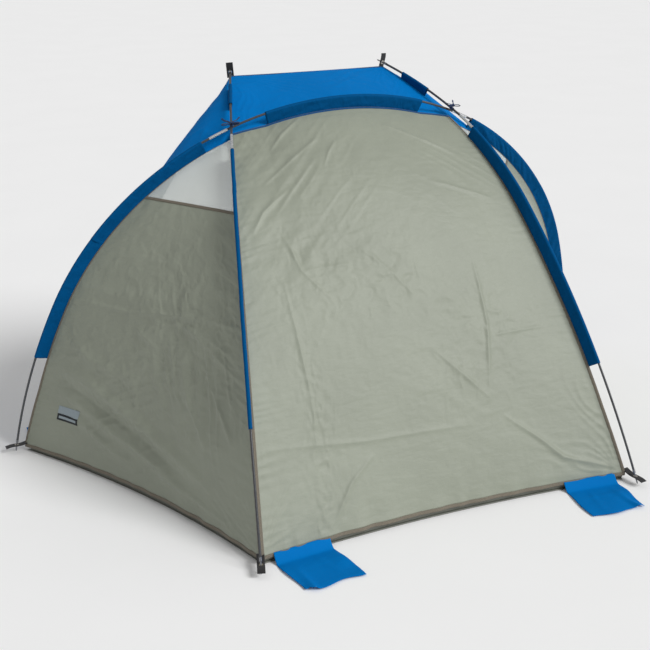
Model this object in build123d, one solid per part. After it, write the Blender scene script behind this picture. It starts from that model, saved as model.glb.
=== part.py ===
"""Beach tarp shelter: one long hoop pole, two side poles, sewn walls, awning, groundsheet and sand flaps.

Frame: +Z up, the open front faces -Y, +X is the right-hand side seen from the front.
The origin is at the middle of the footprint on the ground. Lengths are in millimetres.
"""
from build123d import *
from math import sin, cos, radians, degrees, pi
import os

# ---------------------------------------------------------------- driving dimensions
REAR_HALF = 700.0          # half the distance between the rear pole feet
FRONT_HALF = 1200.0        # half the distance between the front pole feet
DEPTH = 1170.0             # rear foot line to front foot line
REAR_Y = 604.7             # rear foot line, measured from the origin

HOOP_LEAN = 13.0           # the hoop's plane leans back by this angle
HOOP_FOOT_LEAN = 7.3       # each hoop leg leans inward at its foot
HOOP_LEG = (610.0, 2440.0)         # length and bend radius of the lower leg
HOOP_SHOULDER = (740.0, 1095.0)    # length and bend radius of the shoulder

SIDE_AZIMUTH = 13.4        # side pole's heading at its foot, turned inward from straight ahead
SIDE_ELEVATION = 65.0      # and its rise
SIDE_TWIST = -9.5          # its bending plane, turned about the pole
SIDE_RUNS = ((1050.0, 4150.0), (478.0, 1143.0), (400.0, 1911.0))

ROD_D = 8.0
ROD_BORE = 4.0
CORD_D = 3.0
FERRULE_D = 9.6
FERRULE_BORE = 8.1
FERRULE_LEN = 70.0
HOOP_SECTIONS = 8
SIDE_SECTIONS = 4
PIN_D = 5.0
PIN_LEN = 40.0
PIN_TIP_GAP = 1.5          # the pin's tapered tip stops this far short of the ground
COLLAR_D = 9.0
COLLAR_LEN = 12.0

CLOTH = 2.0                # thickness that every cloth panel is given
SEAM_GAP = 3.0             # panels stop this far short of a shared seam line
SLEEVE_WIDTH = 42.0        # pole centre to the seam
SLEEVE_BORE = 10.6
SLEEVE_OUTER = 13.0
HOOP_SLEEVE_LOW = (407.0, 1396.0)  # along the pole from its foot
HOOP_SLEEVE_TOP_HALF = 308.0       # either side of the hoop's crown
SIDE_SLEEVE = (438.0, 1408.0)
ROOF_SLEEVE = (1658.0, 1790.0)

CORNER_UP = 48.0           # the walls' lower corners, along the side pole
CORNER_IN = 36.0           # and across from it
FRONT_CORNER_UP = 32.0
FRONT_CORNER_IN = 30.0
HEM_Z = 32.0               # height of the wall hems between the corners
REAR_BOW = 40.0            # the rear hem curves in by this much
SIDE_BOW = 50.0
HEM_BAND = 12.0            # width of the hem binding
MUD_WALL_LEAN = 8.0        # the groundsheet's turned-up edge leans out by this much
SIDE_TOP = 1494.0          # the side wall ends here along the side pole
HOOP_TOP = 1446.0          # and here along the hoop
WINDOW_SILL = 0.775        # share of the side wall's height below the mesh window
PATCH = (0.80, 0.893, 0.10, 0.142)  # a side wall patch's span, as shares of the wall's width and height
WING_BULGE = 38.0          # the awning wings belly outward by this much, most of it near the awning
CROSS_HOOP = 1500.0        # seams meet here along the hoop, beside the crossing
CROSS_SIDE = 1512.0        # and along the side pole
CROSS_IN = 22.0            # the crown seam comes this near the hoop there
TIP_DROP = 14.0            # the awning's front corners hang this far under the pole
FRONT_SAG = 12.0           # the awning's front edge curves back by this much
AWNING_END = 33.0          # and stop this far short of the pole's end

EYELET_UP = 28.0           # eyelet height along the pole from the pin's tip
TAB_WIDTH = 25.0
FLAP_WIDTH = 200.0
FLAP_REACH = 205.0
FLAP_GAP = 5.0             # the flap's hinge line stands this far outside the hem
FLAP_DROP = 26.0           # height of the hinge line
REAR_FLAP_X = 538.0        # middle of a rear sand flap
FRONT_FLAP_X = 1030.0      # middle of a front sand flap


# ---------------------------------------------------------------- poles as tangent arcs
class ArcPole:
    """A planar chain of tangent arcs that all bend the same way."""

    def __init__(self, start, along, inward, runs):
        self.normal = along.cross(inward)
        self.runs = []
        s, p, t, n = 0.0, start, along, inward
        for length, radius in runs:
            self.runs.append((s, s + length, radius, p, t, n))
            p, t, n = self.on_arc(length / radius, radius, p, t, n)
            s += length
        self.length = s

    @staticmethod
    def on_arc(angle, radius, p, t, n):
        centre = p + n * radius
        here = centre + (t * sin(angle) - n * cos(angle)) * radius
        return here, t * cos(angle) + n * sin(angle), n * cos(angle) - t * sin(angle)

    def frame(self, s):
        """Point, direction and inward direction at length s from the foot."""
        for start, end, radius, p, t, n in self.runs:
            if s <= end or end == self.length:
                return self.on_arc((s - start) / radius, radius, p, t, n)

    def offset(self, s, inward):
        p, _, n = self.frame(s)
        return p + n * inward

    def tube(self, section, s0, s1):
        """A section, drawn with x inward, carried along the pole from s0 to s1."""
        solids = []
        for start, end, radius, *_ in self.runs:
            a, b = max(s0, start), min(s1, end)
            if b - a < 0.01:
                continue
            p, t, n = self.frame(a)
            face = Plane(origin=p, x_dir=n, z_dir=t) * section
            axis = Axis(p + n * radius, self.normal)
            solids.append(revolve(face, axis=axis, revolution_arc=degrees((b - a) / radius)))
        return solids[0] if len(solids) == 1 else solids[0].fuse(*solids[1:])

    def plane(self, s):
        p, t, n = self.frame(s)
        return Plane(origin=p, x_dir=n, z_dir=t)


def make_hoop():
    """The long pole: two legs, two shoulders and a crown that closes it in the middle."""
    lean, foot = radians(HOOP_LEAN), radians(HOOP_FOOT_LEAN)
    up = Vector(0, sin(lean), cos(lean))
    side = Vector(-1, 0, 0)
    start = Vector(FRONT_HALF, REAR_Y - DEPTH, 0)
    along = up * cos(foot) + side * sin(foot)
    inward = side * cos(foot) - up * sin(foot)
    leg = ArcPole(start, along, inward, (HOOP_LEG, HOOP_SHOULDER))
    end, heading, _ = leg.frame(leg.length)
    half_angle = pi / 2 - (foot + HOOP_LEG[0] / HOOP_LEG[1] + HOOP_SHOULDER[0] / HOOP_SHOULDER[1])
    crown_radius = end.X / sin(half_angle)
    crown = (2 * half_angle * crown_radius, crown_radius)
    return ArcPole(start, along, inward, (HOOP_LEG, HOOP_SHOULDER, crown, HOOP_SHOULDER, HOOP_LEG))


def make_side():
    """The right side pole, from its rear foot over the hoop to the awning's corner."""
    az, el, twist = radians(SIDE_AZIMUTH), radians(SIDE_ELEVATION), radians(SIDE_TWIST)
    along = Vector(-sin(az) * cos(el), -cos(az) * cos(el), sin(el))
    fall = Vector(-sin(az) * sin(el), -cos(az) * sin(el), -cos(el))
    inward = fall * cos(twist) + along.cross(fall) * sin(twist)
    return ArcPole(Vector(REAR_HALF, REAR_Y, 0), along, inward, SIDE_RUNS)


HOOP = make_hoop()
SIDE = make_side()


def rod(pole, index, count):
    """One tube section of a pole. The end sections stop at their end pins."""
    step = pole.length / count
    start = index * step + (PIN_LEN + COLLAR_LEN if index == 0 else 0.05)
    end = (index + 1) * step - (PIN_LEN + COLLAR_LEN if index == count - 1 else 0.05)
    return pole.tube(Circle(ROD_D / 2) - Circle(ROD_BORE / 2), start, end)


def ferrules(pole, count):
    """Metal sleeves over the joints between sections."""
    ring = Circle(FERRULE_D / 2) - Circle(FERRULE_BORE / 2)
    step = pole.length / count
    joints = [step * i for i in range(1, count)]
    return Compound([pole.tube(ring, s - FERRULE_LEN / 2, s + FERRULE_LEN / 2) for s in joints])


def shock_cord(pole):
    return pole.tube(Circle(CORD_D / 2), PIN_LEN + COLLAR_LEN + 1, pole.length - PIN_LEN - COLLAR_LEN - 1)


def end_pin(plane):
    """A steel pin with a tapered tip and a collar, standing on the given plane."""
    body = Pos(0, 0, (PIN_LEN + 6) / 2) * Cylinder(PIN_D / 2, PIN_LEN - 6)
    tip = Pos(0, 0, PIN_TIP_GAP + (6 - PIN_TIP_GAP) / 2) * Cone(0.8, PIN_D / 2, 6 - PIN_TIP_GAP)
    collar = Pos(0, 0, PIN_LEN + COLLAR_LEN / 2 - 0.1) * Cylinder(COLLAR_D / 2, COLLAR_LEN - 0.2)
    return plane * (body + tip + collar)


def end_planes():
    """Where the six pole ends are: the plane's z points along the pole, into it."""
    foot = HOOP.plane(0)
    rear = SIDE.plane(0)
    p, t, n = SIDE.frame(SIDE.length)
    return {"front_foot": foot, "rear_foot": rear, "awning_tip": Plane(origin=p, x_dir=n, z_dir=-t)}


# ---------------------------------------------------------------- cloth panels
def lerp(a, b, t):
    return a * (1 - t) + b * t


def panel(point, nu, nv, thickness=CLOTH, lift=0.0):
    """A closed cloth panel over point(u, v), faceted nu by nv, lifted along its own normal."""
    def normal(u, v):
        e = 0.01
        du = point(min(u + e, 1), v) - point(max(u - e, 0), v)
        dv = point(u, min(v + e, 1)) - point(u, max(v - e, 0))
        return du.cross(dv).normalized()

    def layer(shift):
        return [[point(i / nu, j / nv) + normal(i / nu, j / nv) * shift for i in range(nu + 1)]
                for j in range(nv + 1)]

    top, low = layer(lift + thickness / 2), layer(lift - thickness / 2)
    faces = []

    def triangle(a, b, c):
        faces.append(Face(Wire.make_polygon([a, b, c], close=True)))

    def quad(a, b, c, d):
        triangle(a, b, c)
        triangle(a, c, d)

    for j in range(nv):
        for i in range(nu):
            quad(top[j][i], top[j][i + 1], top[j + 1][i + 1], top[j + 1][i])
            quad(low[j][i], low[j + 1][i], low[j + 1][i + 1], low[j][i + 1])
    for i in range(nu):
        quad(low[0][i], low[0][i + 1], top[0][i + 1], top[0][i])
        quad(low[nv][i + 1], low[nv][i], top[nv][i], top[nv][i + 1])
    for j in range(nv):
        quad(low[j + 1][0], low[j][0], top[j][0], top[j + 1][0])
        quad(low[j][nu], low[j + 1][nu], top[j + 1][nu], top[j][nu])
    return Solid(Shell(faces))


def trimmed(point, u0, u1, v0, v1):
    return lambda u, v: point(u0 + (u1 - u0) * u, v0 + (v1 - v0) * v)


def side_seam(t):
    """The seam beside the side pole, from the wall's lower corner to the crossing."""
    s = CORNER_UP + (SIDE_TOP - CORNER_UP) * t
    return SIDE.offset(s, CORNER_IN + (SLEEVE_WIDTH - CORNER_IN) * min(1.0, t * 6))


def hoop_edge(s):
    """The cloth edge beside the hoop at length s from the foot."""
    rise = min(1.0, (s - FRONT_CORNER_UP) / 240)
    return HOOP.offset(s, lerp(FRONT_CORNER_IN, SLEEVE_WIDTH, rise))


def hoop_seam(t):
    """The seam beside the hoop, from the side wall's front corner to the crossing."""
    return hoop_edge(lerp(FRONT_CORNER_UP, HOOP_TOP, t))


def rear_hem(u):
    """The rear wall's lower edge, u from the right corner to the left."""
    corner = side_seam(0)
    bow = 4 * u * (1 - u)
    return Vector(corner.X * (1 - 2 * u), corner.Y - REAR_BOW * bow, lerp(corner.Z, HEM_Z, bow))


def side_hem(u):
    """The right side wall's lower edge, u from the rear corner to the front."""
    a, b = side_seam(0), hoop_seam(0)
    bow = 4 * u * (1 - u)
    across = Vector(a.Y - b.Y, b.X - a.X, 0).normalized()
    straight = lerp(a, b, u)
    return Vector(straight.X, straight.Y, lerp(straight.Z, HEM_Z, bow)) - across * SIDE_BOW * bow


def flipped(p):
    return Vector(-p.X, p.Y, p.Z)


def crown_seam(u):
    """The seam along the hoop between the two crossings, from right to left."""
    rise = min(1.0, 8 * u * (1 - u))
    s = CROSS_HOOP + (HOOP.length - 2 * CROSS_HOOP) * u
    return HOOP.offset(s, lerp(CROSS_IN, SLEEVE_WIDTH, rise))


def coons(bottom, top, left, right):
    """A patch between four edges; left and right run from bottom to top."""
    def point(u, v):
        along = lerp(bottom(u), top(u), v) + lerp(left(v), right(v), u)
        corners = lerp(lerp(bottom(0), bottom(1), u), lerp(top(0), top(1), u), v)
        return along - corners
    return point


def rear_edge(v):
    p = side_seam(v)
    return lerp(p, p + (crown_seam(0) - side_seam(1)), v * v * v)


REAR = coons(rear_hem, crown_seam, rear_edge, lambda v: flipped(rear_edge(v)))


def side_surface(u, v):
    """The right side wall with its window: ruled from the side pole to the hoop, hem bowed in."""
    ruled = lerp(side_seam(v), hoop_seam(v), u)
    hem = side_hem(u) - lerp(side_seam(0), hoop_seam(0), u)
    return ruled + hem * (1 - v) ** 2


def roof_edge(v):
    """Where roof and wing meet under the side pole, from the crossing to the awning's corner."""
    s = CROSS_SIDE + (SIDE.length - AWNING_END - CROSS_SIDE) * v
    return SIDE.offset(s, lerp(SLEEVE_WIDTH, TIP_DROP, v))


def front_edge(u):
    a = roof_edge(1)
    return Vector(a.X * (1 - 2 * u), a.Y + FRONT_SAG * 4 * u * (1 - u), a.Z)


def roof_side(v):
    a = roof_edge(v)
    return a + (crown_seam(0) - roof_edge(0)) * (1 - v)


ROOF = coons(crown_seam, front_edge, roof_side, lambda v: flipped(roof_side(v)))


def wing_surface(u, v):
    """The awning's right wing: a triangle from the crossing to the awning's corner and the foot.

    u runs from the roof edge to the hoop seam and v away from the crossing, and v = 1 is the free edge.
    """
    outer = hoop_edge(lerp(CROSS_HOOP, FRONT_CORNER_UP, v))
    belly = WING_BULGE * sin(pi * u ** 0.6) * sin(pi * v * v)
    return lerp(roof_side(v), outer, u) + Vector(1, 0, 0.4) * belly


def hem_strip(hem, drop):
    """A strip that hangs from a hem line, v downward."""
    return lambda u, v: hem(u) - Vector(0, 0, drop * v)


def mud_wall(hem, inward):
    """The groundsheet's turned-up edge: from the ground to just inside the hem."""
    def point(u, v):
        top = hem(u) + inward * SEAM_GAP
        low = top + inward * MUD_WALL_LEAN
        return lerp(Vector(low.X, low.Y, CLOTH + 1.5), Vector(top.X, top.Y, top.Z - 3), v)
    return point


def side_inward():
    """Level, square to the line of the right side wall, toward the inside."""
    a, b = side_seam(0), hoop_seam(0)
    return -Vector(a.Y - b.Y, b.X - a.X, 0).normalized()


def groundsheet():
    """The flat floor, cut to the curve of the hems."""
    inset = SEAM_GAP + 10
    steps = 8
    rear = [rear_hem(i / steps) + Vector(0, -inset, 0) for i in range(1, steps)]
    right = [side_hem(i / steps) + side_inward() * inset for i in range(1, steps)]
    left = [flipped(p) for p in reversed(right)]
    corner = side_hem(0) + Vector(-inset, -inset, 0)
    front = side_hem(1) + Vector(-inset, inset, 0)
    outline = [corner] + rear + [flipped(corner)] + left[::-1] + [flipped(front), front] + right[::-1]
    flat = Polygon(*[(p.X, p.Y) for p in outline], align=None)
    return extrude(flat, CLOTH)


def sleeve_section(width):
    """A pole sleeve: a round channel with a flat double fin that runs inward to the seam."""
    fin = Pos(width / 2, 0) * Rectangle(width, CLOTH)
    return (Circle(SLEEVE_OUTER / 2) + fin) - Circle(SLEEVE_BORE / 2)


def sleeve(pole, s0, s1, width=SLEEVE_WIDTH - SEAM_GAP):
    return pole.tube(sleeve_section(width), s0, s1)


# ---------------------------------------------------------------- tabs, eyelets, ties and flaps
def ground_tab(plane):
    """Webbing from a wall corner down to its eyelet and on outward; the plane's x is outward."""
    top = [(-52, 10), (-14, 1), (14, 1), (40, -3)]
    outline = top + [(x, z - CLOTH) for x, z in reversed(top)]
    strip = Plane.XZ * Polygon(*outline, align=None)
    web = extrude(strip, TAB_WIDTH / 2, both=True) - Cylinder(5.1, 8)
    return plane * web


def tip_tab(plane):
    web = Pos(6, 0, 0) * Box(56, TAB_WIDTH, CLOTH) - Cylinder(5.1, 8)
    return plane * web


def eyelet(plane):
    """A two-flange metal eyelet in the tab's hole."""
    ring = Cylinder(5.0, 3.6)
    for z in (1.45, -1.45):
        ring += Pos(0, 0, z) * Cylinder(7.5, 0.7)
    return plane * (ring - Cylinder(4.2, 6))


def level_plane(pole, outward):
    p, _, _ = pole.frame(EYELET_UP)
    return Plane(origin=p, x_dir=outward, z_dir=(0, 0, 1))


REAR_TAB = level_plane(SIDE, Vector(0.13, 0.99, 0))
FRONT_TAB = level_plane(HOOP, Vector(1, 0, 0))


def tip_plane():
    p, t, n = SIDE.frame(SIDE.length - EYELET_UP)
    return Plane(origin=p, x_dir=-n, z_dir=t)


def tie():
    """A tape bow outside the crossing: a knot, two loops and two tails."""
    p, t, n = SIDE.frame(1527.0)
    plane = Plane(origin=p - n * (ROD_D / 2 + 5.5), x_dir=t.cross(n), z_dir=-n)
    knot = fillet(Box(14, 12, 9).edges(), 3)
    for angle, reach in ((20, 34), (160, 34), (-35, 42), (-145, 42)):
        knot += Rot(0, 0, angle) * Pos(reach / 2, 0, 1) * Box(reach, 5, 2)
    return plane * knot


def flap(width, reach):
    """A sand flap: down from its hem (x = 0) to the ground, then flat outward."""
    drape = 24.0
    top = [(2, FLAP_DROP), (drape, CLOTH), (reach, CLOTH)]
    low = [(reach, 0), (drape - 3, 0), (2, FLAP_DROP - 3.5)]
    strip = Plane.XZ * Polygon(*(top + low), align=None)
    return extrude(strip, width / 2, both=True)


def flap_plane(rear):
    """At the middle of a right-hand flap's hem on the ground: x outward, y along the hem."""
    if not rear:
        edge = side_hem(1).Y + FLAP_GAP
        return Plane(origin=(FRONT_FLAP_X, edge, 0), x_dir=(0, -1, 0), z_dir=(0, 0, 1))
    width = 2 * side_seam(0).X
    a = rear_hem(0.5 - (REAR_FLAP_X + FLAP_WIDTH / 2) / width)
    b = rear_hem(0.5 - (REAR_FLAP_X - FLAP_WIDTH / 2) / width)
    outward = Vector(b.Y - a.Y, a.X - b.X, 0).normalized()
    middle = Vector(REAR_FLAP_X, (a.Y + b.Y) / 2, 0) + outward * FLAP_GAP
    return Plane(origin=middle, x_dir=outward, z_dir=(0, 0, 1))


def right_flap(rear):
    return flap_plane(rear) * flap(FLAP_WIDTH, FLAP_REACH)


# ---------------------------------------------------------------- writing the parts
def pair(parts, name, shape):
    """A right-hand piece and its mirror image."""
    parts[name + "_right"] = shape
    parts[name + "_left"] = mirror(shape, about=Plane.YZ)


def both(shape):
    return Compound([shape, mirror(shape, about=Plane.YZ)])


def pole_parts(parts):
    for i in range(HOOP_SECTIONS):
        parts[f"hoop_section_{i + 1}"] = rod(HOOP, i, HOOP_SECTIONS)
    for i in range(SIDE_SECTIONS):
        pair(parts, f"side_section_{i + 1}", rod(SIDE, i, SIDE_SECTIONS))
    parts["hoop_ferrules"] = ferrules(HOOP, HOOP_SECTIONS)
    pair(parts, "side_ferrules", ferrules(SIDE, SIDE_SECTIONS))
    pins = [both(end_pin(plane)) for plane in end_planes().values()]
    parts["end_pins"] = Compound([solid for pin in pins for solid in pin.solids()])
    cords = [shock_cord(HOOP), shock_cord(SIDE), mirror(shock_cord(SIDE), about=Plane.YZ)]
    parts["shock_cords"] = Compound(cords)


def cloth_parts(parts):
    parts["rear_wall"] = panel(trimmed(REAR, 0.004, 0.996, 0.006, 0.992), 12, 10)
    pair(parts, "side_wall", panel(trimmed(side_surface, 0.006, 0.992, 0.006, WINDOW_SILL - 0.012), 10, 8))
    pair(parts, "mesh_window", panel(trimmed(side_surface, 0.014, 0.986, WINDOW_SILL + 0.012, 0.975), 6, 4))
    sill = trimmed(side_surface, 0.006, 0.992, WINDOW_SILL - 0.01, WINDOW_SILL + 0.01)
    pair(parts, "window_sill", panel(sill, 6, 1))
    parts["roof"] = panel(trimmed(ROOF, 0.01, 0.99, 0.02, 0.985), 10, 5)
    pair(parts, "wing", panel(trimmed(wing_surface, 0.015, 0.988, 0.03, 0.985), 6, 14))
    front = trimmed(ROOF, 0.012, 0.988, 0.989, 1.0)
    parts["awning_binding"] = panel(front, 10, 1)
    parts["rear_hem_binding"] = panel(trimmed(hem_strip(rear_hem, HEM_BAND), 0.006, 0.994, 0.06, 1), 10, 1)
    side_strip = trimmed(hem_strip(side_hem, HEM_BAND), 0.008, 0.988, 0.06, 1)
    pair(parts, "side_hem_binding", panel(side_strip, 8, 1))
    rear_mud = trimmed(mud_wall(rear_hem, Vector(0, -1, 0)), 0.02, 0.98, 0, 1)
    parts["rear_mud_wall"] = panel(rear_mud, 10, 1)
    side_mud = trimmed(mud_wall(side_hem, side_inward()), 0.02, 0.975, 0, 1)
    pair(parts, "side_mud_wall", panel(side_mud, 8, 1))
    parts["groundsheet"] = groundsheet()
    parts["wall_patch"] = panel(trimmed(side_surface, *PATCH), 2, 2, thickness=1.0, lift=-2.0)


def sleeve_parts(parts):
    pair(parts, "hoop_sleeve", sleeve(HOOP, *HOOP_SLEEVE_LOW))
    crown = HOOP.length / 2
    parts["crown_sleeve"] = sleeve(HOOP, crown - HOOP_SLEEVE_TOP_HALF, crown + HOOP_SLEEVE_TOP_HALF)
    pair(parts, "side_sleeve", sleeve(SIDE, *SIDE_SLEEVE))
    pair(parts, "roof_sleeve", sleeve(SIDE, *ROOF_SLEEVE, width=24))


def fitting_parts(parts):
    parts["corner_tabs"] = Compound([both(ground_tab(REAR_TAB)), both(ground_tab(FRONT_TAB))])
    parts["awning_tabs"] = both(tip_tab(tip_plane()))
    rings = [both(eyelet(plane)) for plane in (REAR_TAB, FRONT_TAB, tip_plane())]
    parts["eyelets"] = Compound([solid for ring in rings for solid in ring.solids()])
    pair(parts, "pole_tie", tie())
    pair(parts, "rear_flap", right_flap(True))
    pair(parts, "front_flap", right_flap(False))


def main():
    parts = {}
    pole_parts(parts)
    cloth_parts(parts)
    sleeve_parts(parts)
    fitting_parts(parts)
    os.makedirs("parts", exist_ok=True)
    for name, shape in parts.items():
        export_step(shape, f"parts/{name}.step")


main()
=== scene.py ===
"""The looks of the beach tarp shelter: sewn cloth, tapes, sleeves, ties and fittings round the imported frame.

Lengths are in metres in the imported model's frame: +Z up, the open front faces -Y, +X is the right side.
Each curve and surface below is worked out from the same driving sizes as the frame.
"""
from math import cos, pi, radians, sin

import bmesh
import bpy
import numpy as np
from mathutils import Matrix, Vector


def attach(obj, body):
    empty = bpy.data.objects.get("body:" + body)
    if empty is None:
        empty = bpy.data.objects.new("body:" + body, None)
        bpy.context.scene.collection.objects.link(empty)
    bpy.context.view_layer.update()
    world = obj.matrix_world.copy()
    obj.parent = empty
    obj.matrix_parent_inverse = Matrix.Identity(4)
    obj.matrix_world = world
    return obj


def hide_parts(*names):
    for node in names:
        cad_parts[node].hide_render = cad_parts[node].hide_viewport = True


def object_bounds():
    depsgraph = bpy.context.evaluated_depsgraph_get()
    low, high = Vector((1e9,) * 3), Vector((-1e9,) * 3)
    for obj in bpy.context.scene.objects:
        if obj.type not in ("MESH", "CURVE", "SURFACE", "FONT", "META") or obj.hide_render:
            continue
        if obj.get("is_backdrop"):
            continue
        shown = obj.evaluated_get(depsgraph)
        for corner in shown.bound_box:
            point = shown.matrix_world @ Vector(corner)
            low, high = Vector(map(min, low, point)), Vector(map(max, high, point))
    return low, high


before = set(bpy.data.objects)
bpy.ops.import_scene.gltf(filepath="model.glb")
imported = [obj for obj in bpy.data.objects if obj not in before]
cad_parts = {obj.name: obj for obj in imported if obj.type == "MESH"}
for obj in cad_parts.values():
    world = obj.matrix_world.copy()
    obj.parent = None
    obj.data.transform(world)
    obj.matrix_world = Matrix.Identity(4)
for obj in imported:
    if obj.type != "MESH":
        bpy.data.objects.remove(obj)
cad_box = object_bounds()

REAR_HALF = 0.700
FRONT_HALF = 1.200
DEPTH = 1.170
REAR_Y = 0.6047
HOOP_LEAN = 13.0
HOOP_FOOT_LEAN = 7.3
HOOP_LEG = (0.610, 2.440)
HOOP_SHOULDER = (0.740, 1.095)
SIDE_AZIMUTH = 13.4
SIDE_ELEVATION = 65.0
SIDE_TWIST = -9.5
SIDE_RUNS = ((1.050, 4.150), (0.478, 1.143), (0.400, 1.911))
ROD_R = 0.004

SLEEVE_WIDTH = 0.042          # pole centre to the sewn seam
SLEEVE_R = 0.0062             # sleeve cloth round the pole
HOOP_SLEEVE_LOW = (0.407, 1.396)
HOOP_SLEEVE_LAP = 0.896       # the two lengths of a hoop sleeve overlap here
LAP = 0.012
HOOP_SLEEVE_TOP_HALF = 0.308
SIDE_SLEEVE = (0.438, 1.408)
ROOF_SLEEVE = (1.658, 1.790)

CORNER_UP = 0.048
CORNER_IN = 0.036
FRONT_CORNER_UP = 0.032
FRONT_CORNER_IN = 0.030
HEM_Z = 0.032
REAR_BOW = 0.040
SIDE_BOW = 0.050
HEM_BAND = 0.012
FLOOR_Z = 0.0012
FLOOR_INSET = 0.0070
MUD_WALL_Z = 0.0016           # the turned-up edge starts here, on the floor cloth
MUD_WALL_GAP = 0.003          # and stays this far inside and below the hem
MUD_WALL_LEAN = 0.008
SIDE_TOP = 1.494
HOOP_TOP = 1.446
WINDOW_SILL = 0.775
SILL_HALF = 0.004
WING_BULGE = 0.038
CROSS_HOOP = 1.500
CROSS_SIDE = 1.512
CROSS_IN = 0.022
TIP_DROP = 0.014
FRONT_SAG = 0.012
AWNING_END = 0.033
PATCH = (0.80, 0.893, 0.10, 0.142)

EYELET_UP = 0.028
TAB_WIDTH = 0.025
FLAP_WIDTH = 0.200
FLAP_REACH = 0.205
FLAP_GAP = 0.005
REAR_FLAP_X = 0.538
FRONT_FLAP_X = 1.030

CLOTH = 0.0006                # wall, roof and sleeve cloth
TAPE = 0.0010                 # folded binding tape
WEBBING = 0.0018
BOW_THICK = 0.0007
BOW_WIDTH = 0.0065
BOW_AT = 1.527                # along the side pole
FLIP = np.array((-1.0, 1.0, 1.0))


# ---- curves and surfaces ----


def unit(v):
    return v / np.maximum(np.linalg.norm(v, axis=-1, keepdims=True), 1e-12)


def mix(a, b, t):
    t = np.asarray(t, float)[..., None]
    return a * (1 - t) + b * t


def xyz(x, y, z):
    return np.stack(np.broadcast_arrays(np.asarray(x, float), y, z), axis=-1)


def bowed(u):
    """0 at both ends and 1 in the middle."""
    return 4 * u * (1 - u)


def level(points, z):
    """The points moved to one height."""
    return xyz(points[..., 0], points[..., 1], z)


def on_arc(angle, radius, p, t, n):
    """Point, direction and inward direction after turning by an angle along an arc."""
    angle = np.asarray(angle, float)[..., None]
    here = p + n * radius + (t * np.sin(angle) - n * np.cos(angle)) * radius
    return here, t * np.cos(angle) + n * np.sin(angle), n * np.cos(angle) - t * np.sin(angle)


class ArcPole:
    """A planar chain of tangent arcs that all bend the same way."""

    def __init__(self, start, along, inward, runs):
        self.normal = np.cross(along, inward)
        self.runs = []
        s, p, t, n = 0.0, start, along, inward
        for length, radius in runs:
            self.runs.append((s, radius, p, t, n))
            p, t, n = on_arc(length / radius, radius, p, t, n)
            s += length
        self.length = s

    def frame(self, s):
        s = np.asarray(s, float)
        found = None
        for start, radius, p, t, n in self.runs:
            new = on_arc((s - start) / radius, radius, p, t, n)
            if found is None:
                found = new
            else:
                found = [np.where((s >= start)[..., None], b, a) for a, b in zip(found, new)]
        return found

    def offset(self, s, inward):
        p, _, n = self.frame(s)
        return p + n * np.asarray(inward, float)[..., None]


def make_hoop():
    lean, foot = radians(HOOP_LEAN), radians(HOOP_FOOT_LEAN)
    up = np.array((0, sin(lean), cos(lean)))
    side = np.array((-1.0, 0, 0))
    start = np.array((FRONT_HALF, REAR_Y - DEPTH, 0))
    along = up * cos(foot) + side * sin(foot)
    inward = side * cos(foot) - up * sin(foot)
    leg = ArcPole(start, along, inward, (HOOP_LEG, HOOP_SHOULDER))
    end = leg.frame(leg.length)[0]
    half_angle = pi / 2 - (foot + HOOP_LEG[0] / HOOP_LEG[1] + HOOP_SHOULDER[0] / HOOP_SHOULDER[1])
    crown_radius = end[0] / sin(half_angle)
    crown = (2 * half_angle * crown_radius, crown_radius)
    return ArcPole(start, along, inward, (HOOP_LEG, HOOP_SHOULDER, crown, HOOP_SHOULDER, HOOP_LEG))


def make_side():
    az, el, twist = radians(SIDE_AZIMUTH), radians(SIDE_ELEVATION), radians(SIDE_TWIST)
    along = np.array((-sin(az) * cos(el), -cos(az) * cos(el), sin(el)))
    fall = np.array((-sin(az) * sin(el), -cos(az) * sin(el), -cos(el)))
    inward = fall * cos(twist) + np.cross(along, fall) * sin(twist)
    return ArcPole(np.array((REAR_HALF, REAR_Y, 0)), along, inward, SIDE_RUNS)


HOOP = make_hoop()
SIDE = make_side()


def side_seam(t):
    t = np.asarray(t, float)
    s = CORNER_UP + (SIDE_TOP - CORNER_UP) * t
    return SIDE.offset(s, CORNER_IN + (SLEEVE_WIDTH - CORNER_IN) * np.minimum(1, t * 6))


def hoop_edge(s):
    s = np.asarray(s, float)
    rise = np.clip((s - FRONT_CORNER_UP) / 0.240, 0, 1)
    return HOOP.offset(s, FRONT_CORNER_IN + (SLEEVE_WIDTH - FRONT_CORNER_IN) * rise)


def hoop_seam(t):
    return hoop_edge(FRONT_CORNER_UP + (HOOP_TOP - FRONT_CORNER_UP) * np.asarray(t, float))


def rear_hem(u):
    """The rear wall's lower edge, u from the right corner to the left."""
    u = np.asarray(u, float)
    x, y, z = side_seam(0.0)
    bow = bowed(u)
    return xyz(x * (1 - 2 * u), y - REAR_BOW * bow, z * (1 - bow) + HEM_Z * bow)


def side_across():
    """Level, square to the line of the right side wall, toward the outside."""
    a, b = side_seam(0.0), hoop_seam(0.0)
    return unit(np.array((a[1] - b[1], b[0] - a[0], 0)))


def side_hem(u):
    """The right side wall's lower edge, u from the rear corner to the front."""
    u = np.asarray(u, float)
    bow = bowed(u)
    straight = mix(side_seam(0.0), hoop_seam(0.0), u)
    sagging = level(straight, straight[..., 2] * (1 - bow) + HEM_Z * bow)
    return sagging - side_across() * (SIDE_BOW * bow)[..., None]


def crown_seam(u):
    """The seam along the hoop between the two crossings; it comes nearer the pole at both ends."""
    u = np.asarray(u, float)
    rise = np.minimum(1, 8 * u * (1 - u))
    s = CROSS_HOOP + (HOOP.length - 2 * CROSS_HOOP) * u
    return HOOP.offset(s, CROSS_IN + (SLEEVE_WIDTH - CROSS_IN) * rise)


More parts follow.
